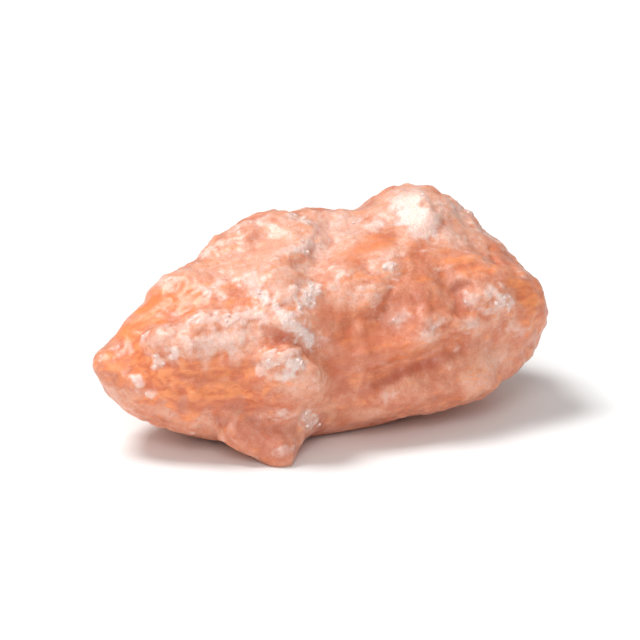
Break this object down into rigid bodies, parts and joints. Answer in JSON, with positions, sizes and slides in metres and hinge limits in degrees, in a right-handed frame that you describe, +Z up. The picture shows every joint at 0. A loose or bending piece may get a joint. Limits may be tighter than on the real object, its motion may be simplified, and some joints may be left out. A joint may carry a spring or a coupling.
{
  "type": "toffee almond",
  "caption": "Whole roasted almond in a rough, lumpy coat of toffee, leaning on a low foot of toffee at its front edge and on a flat under its belly.",
  "frame": {"origin": "centre of the footprint, on the surface that the nut rests on", "axes": "+X from the pointed tip to the blunt end, +Y from the front edge with its toffee foot to the raised back edge, +Z up"},
  "size_m": [0.0278, 0.0138, 0.0125],
  "materials": {
    "toffee": "glossy amber toffee over brown almond skin, clouded where the sugar grained",
    "sugar": "pale crystals of grained sugar"
  },
  "bodies": {
    "root": {"toffee_almond": "toffee"}
  },
  "joints": []
}
